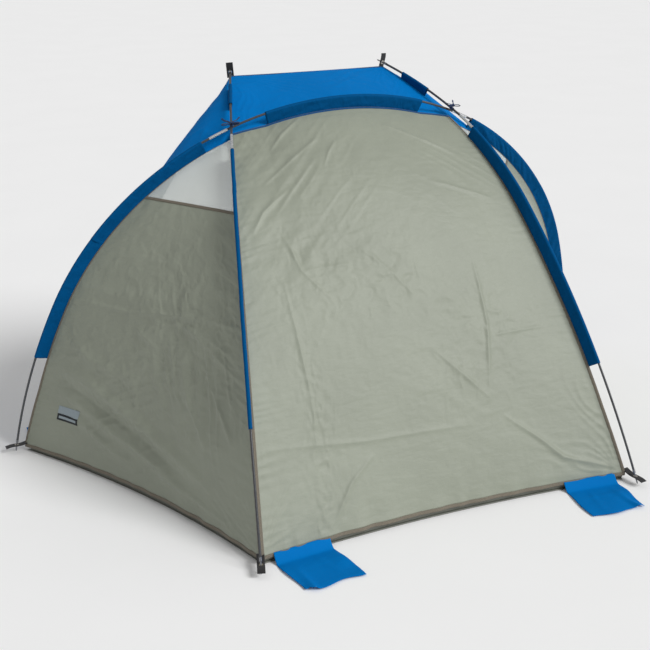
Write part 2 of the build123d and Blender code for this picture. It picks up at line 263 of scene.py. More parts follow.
def coons(bottom, top, left, right):
    """A patch between four edges; left and right run from bottom to top."""
    def point(u, v):
        along = mix(bottom(u), top(u), v) + mix(left(v), right(v), u)
        corners = mix(mix(bottom(0.0), bottom(1.0), u), mix(top(0.0), top(1.0), u), v)
        return along - corners
    return point


def rear_edge(v):
    p = side_seam(v)
    return mix(p, p + (crown_seam(0.0) - side_seam(1.0)), np.asarray(v, float) ** 3)


REAR = coons(rear_hem, crown_seam, rear_edge, lambda v: rear_edge(v) * FLIP)


def side_surface(u, v):
    """The right side wall with its window: ruled from the side pole to the hoop, hem bowed in."""
    ruled = mix(side_seam(v), hoop_seam(v), u)
    hem = side_hem(u) - mix(side_seam(0.0), hoop_seam(0.0), u)
    return ruled + hem * ((1 - np.asarray(v, float)) ** 2)[..., None]


def roof_edge(v):
    v = np.asarray(v, float)
    s = CROSS_SIDE + (SIDE.length - AWNING_END - CROSS_SIDE) * v
    return SIDE.offset(s, SLEEVE_WIDTH + (TIP_DROP - SLEEVE_WIDTH) * v)


def front_edge(u):
    u = np.asarray(u, float)
    x, y, z = roof_edge(1.0)
    return xyz(x * (1 - 2 * u), y + FRONT_SAG * bowed(u), z)


def roof_side(v):
    v = np.asarray(v, float)
    return roof_edge(v) + (crown_seam(0.0) - roof_edge(0.0)) * (1 - v)[..., None]


ROOF = coons(crown_seam, front_edge, roof_side, lambda v: roof_side(v) * FLIP)


def wing_surface(u, v):
    """The awning's right wing; u runs from the roof edge to the hoop seam, and v = 1 is the free edge."""
    outer = hoop_edge(CROSS_HOOP + (FRONT_CORNER_UP - CROSS_HOOP) * np.asarray(v, float))
    belly = WING_BULGE * np.sin(pi * np.asarray(u, float) ** 0.6) * np.sin(pi * np.asarray(v, float) ** 2)
    return mix(roof_side(v), outer, u) + np.array((1, 0, 0.4)) * belly[..., None]


def trimmed(surface, u0, u1, v0, v1):
    return lambda u, v: surface(u0 + (u1 - u0) * u, v0 + (v1 - v0) * v)


def flipped(surface):
    return lambda u, v: surface(u, v) * FLIP


# ---- wrinkles ----


def noise(x, y, cell, seed):
    """Smooth seeded heights from -1 to 1 with one random value to a cell."""
    size = 64
    table = np.random.default_rng(seed).uniform(-1, 1, (size, size))
    gx, gy = x / cell + 31.7, y / cell + 17.3
    ix, iy = np.floor(gx).astype(int), np.floor(gy).astype(int)
    fx, fy = gx - ix, gy - iy
    fx, fy = fx * fx * (3 - 2 * fx), fy * fy * (3 - 2 * fy)
    corner = lambda i, j: table[(iy + j) % size, (ix + i) % size]
    low = corner(0, 0) * (1 - fx) + corner(1, 0) * fx
    high = corner(0, 1) * (1 - fx) + corner(1, 1) * fx
    return low * (1 - fy) + high * fy


def crumple(x, y, cell, seed):
    """Creased cloth: crisp ridges where a smooth field crosses zero, at two scales."""
    wx = x + 0.5 * cell * noise(x, y, cell, seed + 1)
    wy = y + 0.5 * cell * noise(x, y, cell, seed + 2)
    coarse = 1 - 2.5 * np.abs(noise(wx, wy, cell, seed + 3))
    fine = 1 - 2.5 * np.abs(noise(wy, wx, cell * 0.45, seed + 4))
    return coarse * 0.7 + fine * 0.3


def spot(grid, u, v, radius):
    """A soft round mask about a place given in shares of the panel."""
    cx, cy = grid.at(u, v)
    return np.exp(-((grid.x - cx) ** 2 + (grid.y - cy) ** 2) / radius ** 2)


def fold(grid, height, width, power, path):
    """A ridge along a path given in shares of the panel; power 1 is crisp, 2 is soft."""
    points = np.array([grid.at(u, v) for u, v in path])
    lengths = np.linalg.norm(np.diff(points, axis=0), axis=1)
    starts = np.concatenate([[0], np.cumsum(lengths)])
    wander = 0.35 * width * noise(grid.x, grid.y, 0.06, len(path) + 7)
    nearest = np.full(grid.x.shape, 9.0)
    along = np.zeros(grid.x.shape)
    for a, b, length, start in zip(points[:-1], points[1:], lengths, starts):
        d = (b - a) / length
        s = np.clip((grid.x - a[0]) * d[0] + (grid.y - a[1]) * d[1], 0, length)
        off = np.hypot(grid.x - a[0] - d[0] * s, grid.y - a[1] - d[1] * s)
        closer = off < nearest
        nearest = np.where(closer, off, nearest)
        along = np.where(closer, (start + s) / starts[-1], along)
    fade = np.clip(np.sin(pi * along), 0, 1) ** 0.6
    return height * fade * np.exp(-(np.abs(nearest + wander) / width) ** power)


def fan(grid, u, v, count, reach, height, seed):
    """Wrinkles that radiate from a loaded corner."""
    cx, cy = grid.at(u, v)
    dx, dy = grid.x - cx, grid.y - cy
    r = np.hypot(dx, dy)
    angle = np.arctan2(dy, dx)
    wave = np.cos(count * angle + 5.0 * noise(angle, r * 2, 0.35, seed))
    crest = 1 - 1.6 * np.abs(wave)
    strength = 0.5 + 0.5 * noise(angle, 0 * r, 0.3, seed + 1)
    return height * strength * crest * np.exp(-r / reach) * np.clip(r / 0.06, 0, 1)


def pull_lines(grid, u, v, radius, slope, height, seed):
    """Long parallel drag folds about a place, drawn out along one slope."""
    turn = np.arctan(slope)
    along = grid.x * np.cos(turn) + grid.y * np.sin(turn)
    across = grid.y * np.cos(turn) - grid.x * np.sin(turn)
    bent = across + 0.012 * noise(along, across, 0.12, seed)
    crest = 1 - 2.4 * np.abs(noise(bent, along * 0.13, 0.030, seed + 1))
    return height * spot(grid, u, v, radius) * np.clip(crest, -0.4, 1)


def puckers(distance, along, pitch, reach, height, seed):
    """Short ripples square to a sewn edge."""
    phase = 2 * pi * along / pitch + 7 * noise(along, distance * 0.3, 0.09, seed)
    share = np.clip(0.45 + 0.9 * noise(along, 0 * along, 0.11, seed + 1), 0, 1.2)
    return height * share * np.sin(phase) * np.exp(-distance / (reach * (0.5 + share)))


def side_puckers(grid, pitch, reach, height, seed):
    """Puckers along a panel's two upright edges."""
    left = puckers(grid.left, grid.y, pitch, reach, height, seed)
    return left + puckers(grid.right, grid.y, pitch, reach, height, seed + 2)


class Grid:
    """Points over a surface, with the distances across and up it in metres."""

    def __init__(self, surface, nu, nv, outward=1):
        self.v, self.u = np.mgrid[0:1:(nv + 1) * 1j, 0:1:(nu + 1) * 1j]
        self.points = surface(self.u, self.v)
        across, up = np.gradient(self.points, axis=1), np.gradient(self.points, axis=0)
        self.normal = unit(np.cross(across, up)) * outward
        self.x = self.measured(1)
        self.width = self.x[:, -1].max()
        self.left = self.x.copy()
        self.right = self.x[:, -1:] - self.x
        self.x = self.x - self.x[:, -1:] / 2
        self.y = self.measured(0)
        self.length = self.y[-1].max()
        self.top = self.y[-1:] - self.y
        self.area = self.measured_area()

    def measured(self, axis):
        steps = np.linalg.norm(np.diff(self.points, axis=axis), axis=-1)
        pad = [(1, 0), (0, 0)] if axis == 0 else [(0, 0), (1, 0)]
        return np.pad(np.cumsum(steps, axis=axis), pad)

    def measured_area(self):
        p = self.points
        cells = np.cross(p[1:, 1:] - p[:-1, :-1], p[1:, :-1] - p[:-1, 1:])
        return np.linalg.norm(cells, axis=-1).sum() / 2

    def at(self, u, v):
        i, j = round(v * (self.x.shape[0] - 1)), round(u * (self.x.shape[1] - 1))
        return self.x[i, j], self.y[i, j]

    def edge_mask(self, reach=0.018):
        nearest = np.minimum(np.minimum(self.left, self.right), np.minimum(self.y, self.top))
        return np.clip(nearest / reach, 0, 1)

    def lift(self, height):
        self.points = self.points + self.normal * np.asarray(height, float)[..., None]
        return self


# ---- meshes ----


def mesh_object(name, points, faces, uvs, finish):
    mesh = bpy.data.meshes.new(name)
    mesh.from_pydata(points.tolist(), [], faces.tolist())
    loops = np.zeros(len(mesh.loops), np.int32)
    mesh.loops.foreach_get("vertex_index", loops)
    mesh.uv_layers.new(name="cloth").data.foreach_set("uv", uvs[loops].astype(np.float32).ravel())
    mesh.polygons.foreach_set("use_smooth", np.ones(len(mesh.polygons), bool))
    mesh.materials.append(MATERIALS[finish])
    piece = bpy.data.objects.new(name, mesh)
    bpy.context.scene.collection.objects.link(piece)
    return piece


def grid_object(name, grids, finish, thick):
    """One piece from one or more grids, given its thickness."""
    points, faces, uvs, first = [], [], [], 0
    for grid in grids:
        rows, columns = grid.x.shape
        index = np.arange(rows * columns).reshape(rows, columns) + first
        quads = np.stack([index[:-1, :-1], index[:-1, 1:], index[1:, 1:], index[1:, :-1]], axis=-1)
        points.append(grid.points.reshape(-1, 3))
        faces.append(quads.reshape(-1, 4))
        uvs.append(np.stack([grid.x, grid.y], axis=-1).reshape(-1, 2))
        first += rows * columns
    piece = mesh_object(name, *[np.concatenate(part) for part in (points, faces, uvs)], finish)
    solid = piece.modifiers.new("thickness", "SOLIDIFY")
    solid.thickness = thick
    solid.offset = 0
    return piece


def place(piece, nodes=(), body="shelter"):
    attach(piece, body)
    if nodes:
        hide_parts(*nodes)
    return piece


TRIMS = {}       # name of a cloth piece: the tapes and stitches sewn to it


def sheet(name, grids, finish, nodes=(), thick=CLOTH, body="shelter",
          triangle=False):
    """A piece of cloth from its grids; the flat size that its smooth surface is cut to is worked out here but
    not kept.
    """
    piece = place(grid_object(name, grids, finish, thick), nodes, body)
    area = sum(grid.area for grid in grids)
    width, length = max(grid.width for grid in grids), sum(grid.length for grid in grids)
    if triangle:
        length = max(width, length)
        width = 2 * area / length
    return piece


WALL_GRIDS = {}  # side: the finished grid of its wall cloth
SIDES = (("right", lambda surface: surface, 1), ("left", flipped, -1))
MIRRORS = (("right", np.ones(3)), ("left", FLIP))


# ---- materials ----


def paint(r, g, b):
    """An sRGB colour, 0 to 255, as linear RGBA."""
    shares = (r / 255, g / 255, b / 255)
    linear = [c / 12.92 if c <= 0.04045 else ((c + 0.055) / 1.055) ** 2.4 for c in shares]
    return (*linear, 1.0)


def shaded(colour, share):
    return tuple(c * share for c in colour[:3]) + (1.0,)


class Nodes:
    """A material's node tree with its Principled shader."""

    def __init__(self, name, **constants):
        self.material = bpy.data.materials.new(name)
        self.material.use_nodes = True
        self.tree = self.material.node_tree
        self.shader = self.tree.nodes["Principled BSDF"]
        for socket, value in constants.items():
            self.shader.inputs[socket.replace("_", " ")].default_value = value
        self.coords = self.tree.nodes.new("ShaderNodeTexCoord")

    def link(self, a, b):
        self.tree.links.new(a, b)

    def noise(self, coords, scale, detail=4.0, stretch=(1, 1, 1)):
        mapping = self.tree.nodes.new("ShaderNodeMapping")
        mapping.inputs["Scale"].default_value = stretch
        self.link(self.coords.outputs[coords], mapping.inputs["Vector"])
        node = self.tree.nodes.new("ShaderNodeTexNoise")
        node.inputs["Scale"].default_value = scale
        node.inputs["Detail"].default_value = detail
        self.link(mapping.outputs["Vector"], node.inputs["Vector"])
        return node.outputs["Fac"]

    def wave(self, coords, pitch, direction, profile="SIN"):
        """Threads a pitch apart, in metres, across the given direction."""
        node = self.tree.nodes.new("ShaderNodeTexWave")
        node.wave_type = "BANDS"
        node.bands_direction = direction
        node.wave_profile = profile
        node.inputs["Scale"].default_value = 0.314 / pitch
        node.inputs["Distortion"].default_value = 0.0
        self.link(self.coords.outputs[coords], node.inputs["Vector"])
        return node.outputs["Fac"]

    def math(self, operation, a, b):
        node = self.tree.nodes.new("ShaderNodeMath")
        node.operation = operation
        for socket, value in zip(node.inputs, (a, b)):
            if isinstance(value, (int, float)):
                socket.default_value = value
            else:
                self.link(value, socket)
        return node.outputs[0]

    def remap(self, value, low, high, out_low=0, out_high=1):
        node = self.tree.nodes.new("ShaderNodeMapRange")
        for name, number in zip(("From Min", "From Max", "To Min", "To Max"), (low, high, out_low, out_high)):
            node.inputs[name].default_value = number
        self.link(value, node.inputs["Value"])
        return node.outputs["Result"]

    def blend(self, fac, dark, light):
        node = self.tree.nodes.new("ShaderNodeMix")
        node.data_type = "RGBA"
        colour_a, colour_b = node.inputs[6], node.inputs[7]
        for socket, value in ((node.inputs["Factor"], fac), (colour_a, dark), (colour_b, light)):
            if isinstance(value, (float, tuple)):
                socket.default_value = value
            else:
                self.link(value, socket)
        return node.outputs[2]

    def tint(self, value, low, high, colour, dark, light):
        """Shades of one colour, from dark to light as the value goes from low to high."""
        return self.blend(self.remap(value, low, high), shaded(colour, dark), shaded(colour, light))

    def bump(self, heights):
        """Stacked bumps, each a (height, distance, strength)."""
        normal = None
        for height, distance, strength in heights:
            node = self.tree.nodes.new("ShaderNodeBump")
            node.inputs["Distance"].default_value = distance
            node.inputs["Strength"].default_value = strength
            self.link(height, node.inputs["Height"])
            if normal is not None:
                self.link(normal, node.inputs["Normal"])
            normal = node.outputs["Normal"]
        self.link(normal, self.shader.inputs["Normal"])

    def set(self, socket, value):
        self.link(value, self.shader.inputs[socket])


def woven(name, colour, pitch, rough=0.55, sheen=0.1, gloss=0.2, cloudy=0.08, crease=0.0014):
    """Plain-weave cloth: threads both ways, faint clouding, small creases and a dull sheen."""
    m = Nodes(name, Sheen_Weight=sheen, Sheen_Roughness=0.4, Specular_IOR_Level=gloss)
    warp, weft = m.wave("UV", pitch, "X"), m.wave("UV", pitch * 1.15, "Y")
    threads = m.math("MULTIPLY", warp, weft)
    clouds = m.noise("UV", 3.5, 5)
    slubs = m.noise("UV", 60, 3, stretch=(1, 9, 1))
    base = m.tint(clouds, 0.3, 0.7, colour, 1 - cloudy, 1 + cloudy)
    tone = m.math("ADD", m.math("MULTIPLY", threads, 0.5), m.math("MULTIPLY", slubs, 0.5))
    dull = m.tint(tone, 0.2, 0.8, colour, 0.86, 1.08)
    m.set("Base Color", m.blend(0.4, base, dull))
    m.set("Roughness", m.remap(slubs, 0.3, 0.7, rough - 0.06, rough + 0.08))
    creases, crinkles = m.noise("UV", 28, 6), m.noise("UV", 9, 3, stretch=(1, 2.4, 1))
    ridge = m.math("ABSOLUTE", m.math("SUBTRACT", crinkles, 0.5), 0)
    m.bump([(creases, crease, 0.5), (ridge, 4 * crease, 0.5), (threads, 0.0002, 0.35)])
    return m.material


def netting(name, colour):
    """Fine knitted mesh: a grid of threads with open holes between."""
    m = Nodes(name, Sheen_Weight=0.1, Roughness=0.6)
    pitch = 0.0016
    warp, weft = m.wave("UV", pitch, "X"), m.wave("UV", pitch, "Y")
    threads = m.math("MAXIMUM", warp, weft)
    clouds = m.noise("UV", 6, 3)
    m.set("Base Color", m.blend(clouds, shaded(colour, 0.92), shaded(colour, 1.05)))
    m.set("Alpha", m.remap(threads, 0.45, 0.75, 0.12, 0.95))
    m.bump([(threads, 0.0003, 0.5)])
    return m.material


def ribbed(name, colour, pitch, rough=0.7):
    """Grosgrain tape or webbing: ribs across its length with a lighter weave fleck."""
    m = Nodes(name, Sheen_Weight=0.15, Specular_IOR_Level=0.3)
    ribs = m.wave("UV", pitch, "Y")
    weave = m.wave("UV", pitch * 0.8, "X", "TRI")
    fleck = m.noise("UV", 250, 2)
    height = m.math("ADD", ribs, m.math("MULTIPLY", weave, 0.5))
    m.set("Base Color", m.tint(m.math("MULTIPLY", ribs, fleck), 0.1, 0.6, colour, 0.7, 1.2))
    m.set("Roughness", m.remap(fleck, 0.3, 0.7, rough - 0.08, rough + 0.1))
    m.bump([(height, 0.0003, 0.6)])
    return m.material


def coated(name, colour):
    """Laid polyethylene floor cloth: a flat woven tape grid under a smooth coat."""
    m = Nodes(name, Specular_IOR_Level=0.5, Coat_Weight=0.15, Coat_Roughness=0.35)
    grid = m.math("MAXIMUM", m.wave("UV", 0.003, "X", "TRI"), m.wave("UV", 0.003, "Y", "TRI"))
    dust = m.noise("UV", 7, 6)
    m.set("Base Color", m.tint(dust, 0.3, 0.7, colour, 0.85, 1.12))
    m.set("Roughness", m.remap(dust, 0.3, 0.7, 0.4, 0.6))
    m.bump([(dust, 0.002, 0.4), (grid, 0.0002, 0.4)])
    return m.material


def fibreglass(name, colour):
    """Pultruded rod: fine streaks along it, a soft gloss and scuffs."""
    m = Nodes(name, Specular_IOR_Level=0.5, Coat_Weight=0.3, Coat_Roughness=0.25)
    streaks = m.noise("Object", 400, 4, stretch=(1, 1, 0.06))
    scuffs = m.noise("Object", 30, 8)
    m.set("Base Color", m.tint(streaks, 0.35, 0.65, colour, 0.75, 1.35))
    m.set("Roughness", m.remap(scuffs, 0.35, 0.65, 0.3, 0.5))
    m.bump([(streaks, 0.0001, 0.4)])
    return m.material


def metal(name, colour, rough, brushed):
    m = Nodes(name, Metallic=1.0)
    marks = m.noise("Object", 600 if brushed else 120, 6, stretch=(1, 1, 0.15 if brushed else 1))
    m.set("Base Color", m.tint(marks, 0.35, 0.65, colour, 0.8, 1.0))
    m.set("Roughness", m.remap(marks, 0.3, 0.7, rough - 0.08, rough + 0.12))
    m.bump([(marks, 0.0001, 0.3)])
    return m.material


WEAVE_SOFT = {"rough": 0.7, "sheen": 0.0, "gloss": 0.04}
WEAVE_LABEL = {"pitch": 0.0006, "rough": 0.6, "crease": 0.0003}
FINISHES = {     # name: how it is made, its sRGB colour and its settings
    "wall_cloth": (woven, (143, 148, 134), {"pitch": 0.0011, "rough": 0.45, "gloss": 0.3}),
    "blue_cloth": (woven, (0, 112, 186), {"pitch": 0.0010, **WEAVE_SOFT}),
    # the sleeves' colour is the blue cloth's colour darkened: painted shade for the shade the sleeves lie in
    "sleeve_cloth": (woven, (0, 76, 128), {"pitch": 0.0010, "crease": 0.0035, **WEAVE_SOFT}),
    "window_mesh": (netting, (214, 220, 216), {}),
    "floor_cloth": (coated, (104, 106, 98), {}),
    "binding_tape": (ribbed, (124, 116, 102), {"pitch": 0.0012}),
    "blue_tape": (ribbed, (4, 80, 134), {"pitch": 0.0012}),
    "webbing": (ribbed, (34, 34, 36), {"pitch": 0.0020}),
    "tie_tape": (ribbed, (12, 44, 88), {"pitch": 0.0012}),
    "patch": (woven, (150, 162, 168), WEAVE_LABEL),
    "patch_strip": (woven, (38, 42, 44), WEAVE_LABEL),
    "thread": (ribbed, (120, 118, 104), {"pitch": 0.0006}),
    "blue_thread": (ribbed, (10, 60, 118), {"pitch": 0.0006}),
    "elastic": (ribbed, (196, 196, 190), {"pitch": 0.0010}),
    "fibreglass": (fibreglass, (52, 54, 58), {}),
    "ferrule_metal": (metal, (232, 234, 236), {"rough": 0.28, "brushed": True}),
    "pin_steel": (metal, (150, 152, 156), {"rough": 0.3, "brushed": True}),
    "eyelet_metal": (metal, (196, 192, 182), {"rough": 0.3, "brushed": False}),
}
MATERIALS = {name: make(name, paint(*colour), **settings) for name, (make, colour, settings) in FINISHES.items()}


def finish_cad_nodes():
    """The rigid pieces keep their shapes and take their materials."""
    kept = {"shock_cords": "elastic", "end_pins": "pin_steel", "eyelets": "eyelet_metal"}
    for name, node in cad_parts.items():
        if "_section_" in name:
            finish = "fibreglass"
        elif name.endswith(("ferrules", "ferrules_left", "ferrules_right")):
            finish = "ferrule_metal"
        else:
            finish = kept.get(name)
        if finish:
            for material_slot in node.material_slots:
                material_slot.material = MATERIALS[finish]


# ---- camera, light and floor ----


LENS = 66.85                  # millimetres
CAMERA_AT = (1.8462, 3.5548, 1.9309)
CAMERA_DIP, CAMERA_ROLL, CAMERA_HEADING = 19.75, 0.07, 24.72


def make_camera():
    camera = bpy.data.objects.new("camera", bpy.data.cameras.new("camera"))
    camera.data.sensor_width = 36
    camera.data.lens = LENS
    camera.location = CAMERA_AT
    camera.rotation_euler = (radians(90 - CAMERA_DIP), radians(CAMERA_ROLL), radians(180 - CAMERA_HEADING))
    bpy.context.scene.collection.objects.link(camera)
    bpy.context.scene.camera = camera


def make_sun(name, strength, angle, toward):
    data = bpy.data.lights.new(name, "SUN")
    data.energy = strength
    data.angle = radians(angle)
    light = bpy.data.objects.new(name, data)
    light.rotation_euler = Vector(toward).to_track_quat("-Z", "Y").to_euler()
    bpy.context.scene.collection.objects.link(light)


def make_stage():
    floor = bpy.data.meshes.new("floor")
    half, below = 60.0, -0.001
    corners = [(x * half, y * half, below) for x, y in ((-1, -1), (1, -1), (1, 1), (-1, 1))]
    floor.from_pydata(corners, [], [(0, 1, 2, 3)])
    pale = Nodes("floor", Roughness=0.95)
    pale.set("Base Color", pale.blend(pale.noise("Object", 2, 3), paint(244, 244, 244), paint(248, 248, 248)))
    floor.materials.append(pale.material)
    piece = bpy.data.objects.new("floor", floor)
    bpy.context.scene.collection.objects.link(piece)
    piece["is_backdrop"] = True
    world = bpy.data.worlds.new("world")
    world.use_nodes = True
    world.node_tree.nodes["Background"].inputs["Color"].default_value = (1, 1, 1, 1)
    world.node_tree.nodes["Background"].inputs["Strength"].default_value = 0.45
    bpy.context.scene.world = world
    bpy.context.scene.view_settings.view_transform = "Standard"
    make_sun("key", 2.4, 25, (3.4, -4.4, -4.2))


# ---- walls, windows and roof ----

REAR_FOLDS = (
    (0.0044, 0.0051, 1.2, ((0.14, 0.91), (0.20, 0.95), (0.29, 0.99))),
    (0.0050, 0.0061, 1.2, ((0.10, 0.82), (0.17, 0.85), (0.34, 0.92))),
    (0.0038, 0.0051, 1.1, ((0.05, 0.70), (0.09, 0.75), (0.20, 0.80))),
    (0.0038, 0.0046, 1.1, ((0.33, 0.83), (0.36, 0.87), (0.40, 0.90))),
    (0.0044, 0.0061, 1.3, ((0.62, 0.94), (0.79, 0.88), (0.90, 0.84))),
    (0.0036, 0.0061, 1.3, ((0.70, 0.77), (0.92, 0.72))),
    (0.0044, 0.0056, 1.4, ((0.75, 0.56), (0.73, 0.40), (0.68, 0.24))),
    (0.0036, 0.0051, 1.1, ((0.02, 0.22), (0.31, 0.18), (0.62, 0.17))),
    (0.0032, 0.0046, 1.1, ((0.71, 0.37), (0.91, 0.38))),
    (0.0032, 0.0061, 1.3, ((0.15, 0.68), (0.19, 0.59), (0.28, 0.50))),
    (0.0030, 0.0061, 1.3, ((0.38, 0.62), (0.46, 0.56), (0.53, 0.48))),
    (0.0038, 0.0061, 1.2, ((0.54, 0.36), (0.60, 0.30), (0.68, 0.22))),
    (0.0064, 0.0066, 1.3, ((0.70, 0.18), (0.79, 0.11), (0.84, 0.06), (0.96, 0.02))),
    (0.0056, 0.0071, 1.4, ((0.19, 0.02), (0.25, 0.10), (0.32, 0.15))),
    (0.0032, 0.0051, 1.2, ((0.13, 0.58), (0.17, 0.31), (0.17, 0.18))),
    (0.0028, 0.0046, 1.1, ((0.18, 0.59), (0.37, 0.58))),
)
SIDE_FOLDS = (
    (0.0146, 0.0221, 1.8, ((0.95, 0.33), (0.55, 0.22), (0.20, 0.10))),
    (0.0105, 0.0170, 1.7, ((0.92, 0.24), (0.68, 0.16), (0.42, 0.09), (0.30, 0.04))),
    (-0.0082, 0.0153, 1.6, ((0.93, 0.28), (0.60, 0.185), (0.30, 0.09))),
    (0.0078, 0.0102, 1.2, ((0.98, 0.57), (0.66, 0.58), (0.42, 0.61), (0.04, 0.63))),
    (0.0065, 0.0255, 1.8, ((0.97, 0.61), (0.66, 0.63), (0.33, 0.65))),
    (0.0048, 0.0093, 1.3, ((0.62, 0.54), (0.47, 0.48))),
    (0.0061, 0.0102, 1.3, ((0.42, 0.59), (0.20, 0.57), (0.05, 0.53))),
    (0.0059, 0.0102, 1.4, ((0.35, 0.46), (0.29, 0.33), (0.22, 0.22))),
    (0.0059, 0.0102, 1.4, ((0.22, 0.46), (0.15, 0.36), (0.09, 0.26))),
    (0.0082, 0.0153, 1.6, ((0.88, 0.18), (0.70, 0.11), (0.52, 0.05))),
    (0.0090, 0.0204, 1.7, ((0.91, 0.43), (0.79, 0.38), (0.56, 0.35))),
    (0.0065, 0.0119, 1.5, ((0.45, 0.08), (0.13, 0.03))),
    (0.0055, 0.0102, 1.3, ((0.38, 0.60), (0.17, 0.53), (0.05, 0.47))),
)


def add_folds(grid, folds):
    return sum(fold(grid, height, width, power, path) for height, width, power, path in folds)


def hem_wave(g, up):
    """The slack in a hem, the same in a wall and in its binding; it dies out upward."""
    phase = 2 * pi * g.x / 0.11 + 3 * noise(g.x, 0 * g.x, 0.07, 37)
    depth = 0.0035 * np.sin(phase) * (0.6 + 0.4 * noise(g.x, 0 * g.x, 0.2, 38))
    return depth * np.exp(-up / 0.05) * np.clip(np.minimum(g.left, g.right) / 0.06, 0, 1)


def rear_relief(g):
    """Pull lines to the upper corners, packing creases, corner fans and a wavy hem."""
    height = add_folds(g, REAR_FOLDS)
    height += pull_lines(g, 0.14, 0.84, 0.26, 0.95, 0.0024, 11)
    height += pull_lines(g, 0.86, 0.84, 0.20, -0.75, 0.0010, 15)
    height += fan(g, 0.0, 0.0, 13, 0.20, 0.0026, 13) + fan(g, 1.0, 0.0, 15, 0.24, 0.0034, 14)
    rumpled = 0.30 + spot(g, 0.22, 0.58, 0.16) + spot(g, 0.47, 0.55, 0.16) + 0.8 * spot(g, 0.74, 0.42, 0.15)
    rumpled += 0.8 * spot(g, 0.62, 0.28, 0.14) + 0.5 * spot(g, 0.30, 0.86, 0.15)
    height += rumpled * (0.0016 * crumple(g.x, g.y, 0.085, 21) + 0.0009 * crumple(g.x, g.y, 0.034, 22))
    column = np.exp(-((g.u - 0.17 - 0.02 * np.sin(9 * g.v)) / 0.045) ** 2) * np.clip(3 * (0.62 - g.v), 0, 1)
    height += 0.0014 * column * crumple(g.x * 1.6, g.y * 0.7, 0.030, 23)
    height += 0.0030 * noise(g.x, g.y, 0.35, 25)
    height += side_puckers(g, 0.034, 0.045, 0.0011, 31)
    height += puckers(g.top, g.x, 0.045, 0.050, 0.0007, 35)
    return height * g.edge_mask(0.022) + hem_wave(g, g.y)


def side_relief(seed, share):
    def relief(g):
        """Broad diagonal folds low down, a sharp level crease under the window, fine crumples."""
        height = share * add_folds(g, SIDE_FOLDS)
        rumpled = 0.35 + spot(g, 0.25, 0.68, 0.20) + 0.8 * spot(g, 0.35, 0.45, 0.20)
        rumpled += 0.5 * spot(g, 0.7, 0.3, 0.2)
        fine = crumple(g.x, g.y, 0.032, seed + 3)
        height += rumpled * (0.0026 * crumple(g.x, g.y, 0.075, seed) + 0.0017 * fine)
        height += share * pull_lines(g, 0.30, 0.45, 0.26, 3.0, 0.0032, seed + 17)
        height += share * pull_lines(g, 0.62, 0.20, 0.24, -0.45, 0.0030, seed + 19)
        height += 0.0035 * noise(g.x, g.y, 0.28, seed + 5)
        height += fan(g, 0.0, 0.0, 18, 0.20, 0.0030, seed + 7) + fan(g, 1.0, 0.0, 16, 0.18, 0.0028, seed + 8)
        height += side_puckers(g, 0.032, 0.05, 0.0013, seed + 9)
        height += puckers(g.top, g.x, 0.050, 0.06, 0.0009, seed + 13)
        return height * g.edge_mask(0.022) + hem_wave(g, g.y)
    return relief


def blue_relief(seed, reach=0.25):
    def relief(g):
        height = 0.0018 * crumple(g.x, g.y, 0.10, seed) * 0.6 + 0.003 * noise(g.x, g.y, 0.25, seed + 5)
        for u, v in ((0.0, 0.0), (1.0, 0.0), (0.0, 1.0), (1.0, 1.0)):
            height += fan(g, u, v, 18, reach, 0.0022, seed + 6)
        height += side_puckers(g, 0.035, 0.04, 0.0012, seed + 9)
        return height * g.edge_mask(0.02)
    return relief


def panel(surface, size, outward, relief=None, lift=0.0):
    grid = Grid(surface, *size, outward)
    if relief is not None:
        grid.lift(relief(grid))
    return grid.lift(lift) if lift else grid


def net_relief(g):
    return 0.002 * noise(g.x, g.y, 0.08, 5) * g.edge_mask()


def make_walls():
    grid = panel(REAR, (300, 320), 1, rear_relief)
    sheet("rear_cloth", [grid], "wall_cloth", ["rear_wall"])
    for side, turned, sign in SIDES:
        wall = trimmed(turned(side_surface), 0, 1, 0, WINDOW_SILL)
        share = 1.0 if side == "right" else 0.7
        seed = 51 if side == "right" else 81
        grid = panel(wall, (240, 230), -sign, side_relief(seed, share))
        WALL_GRIDS[side] = grid
        sheet(f"side_cloth_{side}", [grid], "wall_cloth",
              [f"side_wall_{side}"])
        window = trimmed(turned(side_surface), 0, 1, WINDOW_SILL, 1.01)
        net = panel(window, (60, 40), -sign, net_relief)
        sheet(f"window_net_{side}", [net], "window_mesh", [f"mesh_window_{side}"],
              thick=0.0004)
        sill = trimmed(turned(side_surface), 0, 1, WINDOW_SILL - SILL_HALF, WINDOW_SILL + SILL_HALF)
        tape(f"sill_tape_{side}", f"side_cloth_{side}", sill, (90, 4), -sign, "binding_tape",
             [f"window_sill_{side}"], lift=0.0004, thick=0.0032)


def make_roof():
    grid = panel(ROOF, (160, 130), 1, blue_relief(101))
    sheet("roof_cloth", [grid], "blue_cloth", ["roof"])
    tape("front_binding", "roof_cloth", trimmed(ROOF, 0, 1, 0.975, 1.0), (120, 4), 1, "blue_tape",
         ["awning_binding"], lift=0)
    for side, turned, sign in SIDES:
        grid = panel(turned(wing_surface), (90, 220), -sign, blue_relief(121, 0.18))
        sheet(f"wing_cloth_{side}", [grid], "blue_cloth",
              [f"wing_{side}"], triangle=True)
        edge = trimmed(turned(wing_surface), 0, 1, 0.99, 1.0)
        tape(f"wing_binding_{side}", f"wing_cloth_{side}", edge, (160, 3), -sign, "blue_tape", lift=0)


# ---- tapes and bindings ----


def tape(name, sewn_to, surface, size, outward, finish, nodes=(), lift=0.0009, thick=TAPE, relief=None):
    """A narrow strip sewn over a seam or an edge of a cloth piece."""
    grid = panel(surface, size, outward, relief, lift)
    piece = place(grid_object(name, [grid], finish, thick), nodes)
    TRIMS.setdefault(sewn_to, []).append(piece)


def hem_strip(hem, rise=0.001):
    """A strip along a hem line, v downward."""
    return lambda u, v: hem(u) + xyz(0, 0, rise - (rise + HEM_BAND) * v)


